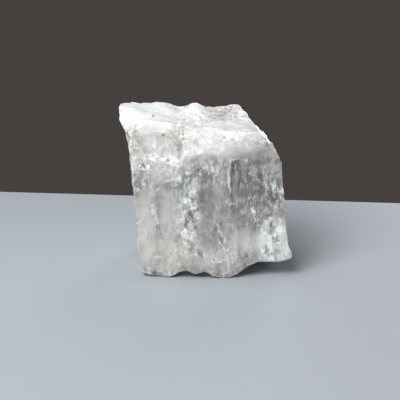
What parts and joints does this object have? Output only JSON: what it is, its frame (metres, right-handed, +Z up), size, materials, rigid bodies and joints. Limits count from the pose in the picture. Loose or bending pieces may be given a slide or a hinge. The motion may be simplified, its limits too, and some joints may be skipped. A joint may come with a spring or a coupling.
{
  "type": "rough petalite",
  "caption": "Rough natural block of translucent white crystal with stepped cleavage faces, resting on its worn underside.",
  "frame": {"origin": "on the resting plane, under the middle of the block's bounding box", "axes": "+Z up as the stone rests, +X to the right along its longest side, +Y to the back, away from the broad striated front"},
  "size_m": [0.042, 0.0286, 0.0392],
  "materials": {
    "petalite": "translucent, vitreous to pearly, raw broken surface"
  },
  "bodies": {
    "root": {"petalite": "petalite"}
  },
  "joints": []
}
